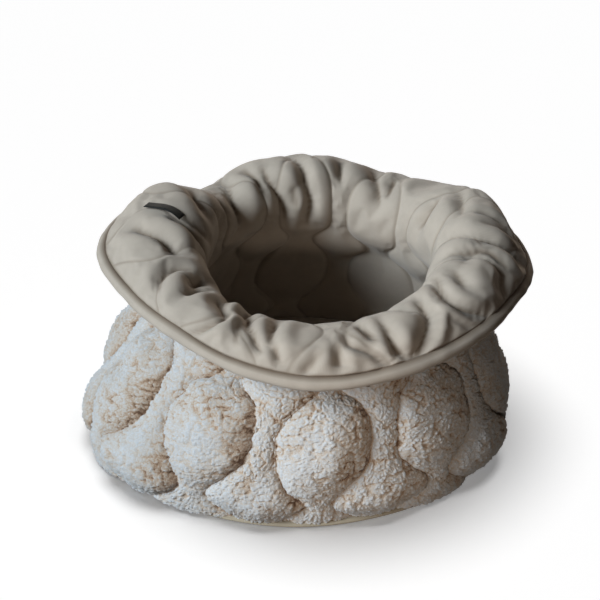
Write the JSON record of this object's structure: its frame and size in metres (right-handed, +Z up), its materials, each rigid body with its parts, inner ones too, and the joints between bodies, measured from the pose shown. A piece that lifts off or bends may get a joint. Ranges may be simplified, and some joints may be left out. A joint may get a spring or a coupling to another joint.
{
  "type": "reversible pet bed",
  "caption": "Round padded pet bed with a quilted curly fleece wall and a smooth lining folded out at the top into a wide cuff.",
  "frame": {"origin": "middle of the underside that the bed stands on", "axes": "+Z up, -Y towards the front, +X to the right when seen from the front"},
  "size_m": [0.4863, 0.4359, 0.2495],
  "materials": {
    "base": "smooth beige woven cotton",
    "fleece": "thick cream curly pile",
    "lining": "smooth taupe brushed jersey",
    "binding": "smooth taupe brushed jersey",
    "label": "dark woven tape"
  },
  "bodies": {
    "root": {"base": "base", "fleece_wall": "fleece", "lining": "lining", "binding": "binding", "label": "label"}
  },
  "joints": []
}
